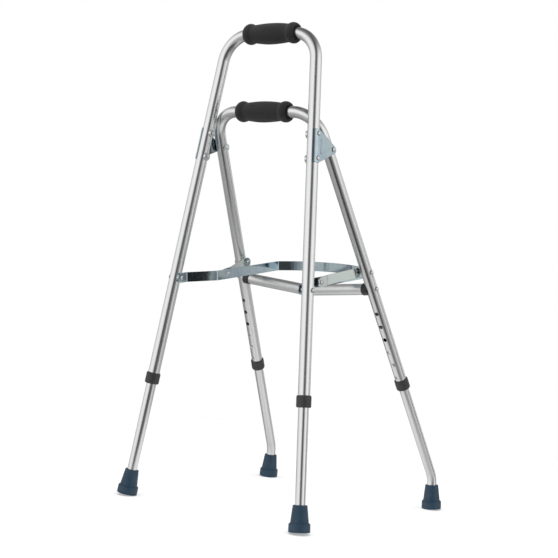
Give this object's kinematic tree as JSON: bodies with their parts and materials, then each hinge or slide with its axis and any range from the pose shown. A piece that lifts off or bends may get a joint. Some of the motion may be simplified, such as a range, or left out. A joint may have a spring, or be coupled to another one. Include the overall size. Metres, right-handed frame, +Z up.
{
  "type": "walking frame",
  "caption": "Folding one-hand walking frame: a tall and a short aluminium tube hoop hinged as an A-frame, foam grips, a steel fold strap with links, telescopic legs and rubber tips.",
  "frame": {"origin": "on the floor, under the middle of the frame's outline", "axes": "+Z up; +X across the frame, to the right of someone facing the tall hoop from outside; +Y from the tall hoop towards the short hoop. The frame is mirror-symmetric about the plane x = 0."},
  "size_m": [0.4566, 0.5031, 0.9244],
  "materials": {
    "tube": "satin anodised",
    "grip": "matte closed-cell foam",
    "collar": "fine moulded texture",
    "zinc": "bright blue-passivated zinc plate",
    "rivet": "nickel plate",
    "nylon": "smooth",
    "steel": "plain",
    "tip": "matte, slate blue"
  },
  "bodies": {
    "tall_frame": {"tall_hoop": "tube", "tall_grip": "grip", "hinge_bracket_left": "zinc", "hinge_bracket_right": "zinc", "bracket_rivets": "rivet", "bracket_washers": "rivet", "hinge_rivets": "rivet", "hinge_washers": "nylon", "strap_rivets": "rivet", "strap_spacers": "rivet", "tall_collar_left": "collar", "tall_collar_right": "collar"},
    "short_frame": {"short_hoop": "tube", "short_grip": "grip", "crossbar": "tube", "crossbar_saddle_left": "collar", "crossbar_saddle_right": "collar", "crossbar_bolts": "rivet", "leg_link_rivets": "rivet", "leg_link_spacers": "rivet", "short_collar_left": "collar", "short_collar_right": "collar", "hinge_inner_washers": "rivet"},
    "strap": {"fold_strap": "zinc", "link_rivets": "rivet", "link_spacers": "nylon"},
    "link_l": {"link_left": "zinc", "link_end_left": "rivet"},
    "link_r": {"link_right": "zinc", "link_end_right": "rivet"},
    "leg_tall_left": {"lower_leg_tall_left": "tube", "tip_tall_left": "tip", "tip_washer_tall_left": "steel", "button_spring_tall_left": "steel"},
    "button_tall_left": {"snap_button_tall_left": "rivet"},
    "leg_tall_right": {"lower_leg_tall_right": "tube", "tip_tall_right": "tip", "tip_washer_tall_right": "steel", "button_spring_tall_right": "steel"},
    "button_tall_right": {"snap_button_tall_right": "rivet"},
    "leg_short_left": {"lower_leg_short_left": "tube", "tip_short_left": "tip", "tip_washer_short_left": "steel", "button_spring_short_left": "steel"},
    "button_short_left": {"snap_button_short_left": "rivet"},
    "leg_short_right": {"lower_leg_short_right": "tube", "tip_short_right": "tip", "tip_washer_short_right": "steel", "button_spring_short_right": "steel"},
    "button_short_right": {"snap_button_short_right": "rivet"}
  },
  "joints": [
    {"name": "fold", "type": "hinge", "parent": "tall_frame", "child": "short_frame", "pos_m": [0, -0.12703, 0.691], "axis": [-1, 0, 0], "range_deg": [0, 32]},
    {"name": "strap_lift", "type": "hinge", "parent": "tall_frame", "child": "strap", "pos_m": [0, -0.19811, 0.4293], "axis": [1, 0, 0], "range_deg": [0, 70]},
    {"name": "link_turn_left", "type": "hinge", "parent": "strap", "child": "link_l", "pos_m": [0, -0.09718, 0.44402], "axis": [-1, 0, 0], "range_deg": [0, 153]},
    {"name": "link_turn_right", "type": "hinge", "parent": "strap", "child": "link_r", "pos_m": [0, -0.09718, 0.44402], "axis": [-1, 0, 0], "range_deg": [0, 153]},
    {"name": "leg_slide_tall_left", "type": "slide", "parent": "tall_frame", "child": "leg_tall_left", "axis": [-0.1136, -0.078, -0.9905], "range_m": [-0.1143, 0.02857], "deforming": ["button_spring_tall_left", "snap_button_tall_left"]},
    {"name": "button_press_tall_left", "type": "slide", "parent": "leg_tall_left", "child": "button_tall_left", "axis": [0.0089, -0.997, 0.0774], "range_m": [0, 0.0044], "stiffness_N_per_m": 1500, "springref_m": -0.003, "deforming": ["button_spring_tall_left"]},
    {"name": "leg_slide_tall_right", "type": "slide", "parent": "tall_frame", "child": "leg_tall_right", "axis": [0.1136, -0.078, -0.9905], "range_m": [-0.1143, 0.02857], "deforming": ["button_spring_tall_right", "snap_button_tall_right"]},
    {"name": "button_press_tall_right", "type": "slide", "parent": "leg_tall_right", "child": "button_tall_right", "axis": [-0.0089, -0.997, 0.0774], "range_m": [0, 0.0044], "stiffness_N_per_m": 1500, "springref_m": -0.003, "deforming": ["button_spring_tall_right"]},
    {"name": "leg_slide_short_left", "type": "slide", "parent": "short_frame", "child": "leg_short_left", "axis": [-0.1083, 0.4925, -0.8635], "range_m": [-0.1143, 0.02857], "deforming": ["button_spring_short_left", "snap_button_short_left"]},
    {"name": "button_press_short_left", "type": "slide", "parent": "leg_short_left", "child": "button_short_left", "axis": [0.0613, 0.8703, 0.4887], "range_m": [0, 0.0044], "stiffness_N_per_m": 1500, "springref_m": -0.003, "deforming": ["button_spring_short_left"]},
    {"name": "leg_slide_short_right", "type": "slide", "parent": "short_frame", "child": "leg_short_right", "axis": [0.1083, 0.4925, -0.8635], "range_m": [-0.1143, 0.02857], "deforming": ["button_spring_short_right", "snap_button_short_right"]},
    {"name": "button_press_short_right", "type": "slide", "parent": "leg_short_right", "child": "button_short_right", "axis": [-0.0613, 0.8703, 0.4887], "range_m": [0, 0.0044], "stiffness_N_per_m": 1500, "springref_m": -0.003, "deforming": ["button_spring_short_right"]}
  ],
  "couplings": [
    {"joint": "strap_lift", "follows": "fold", "ratio": 2.1537},
    {"joint": "link_turn_left", "follows": "fold", "ratio": 4.7321},
    {"joint": "link_turn_right", "follows": "fold", "ratio": 4.7321}
  ]
}
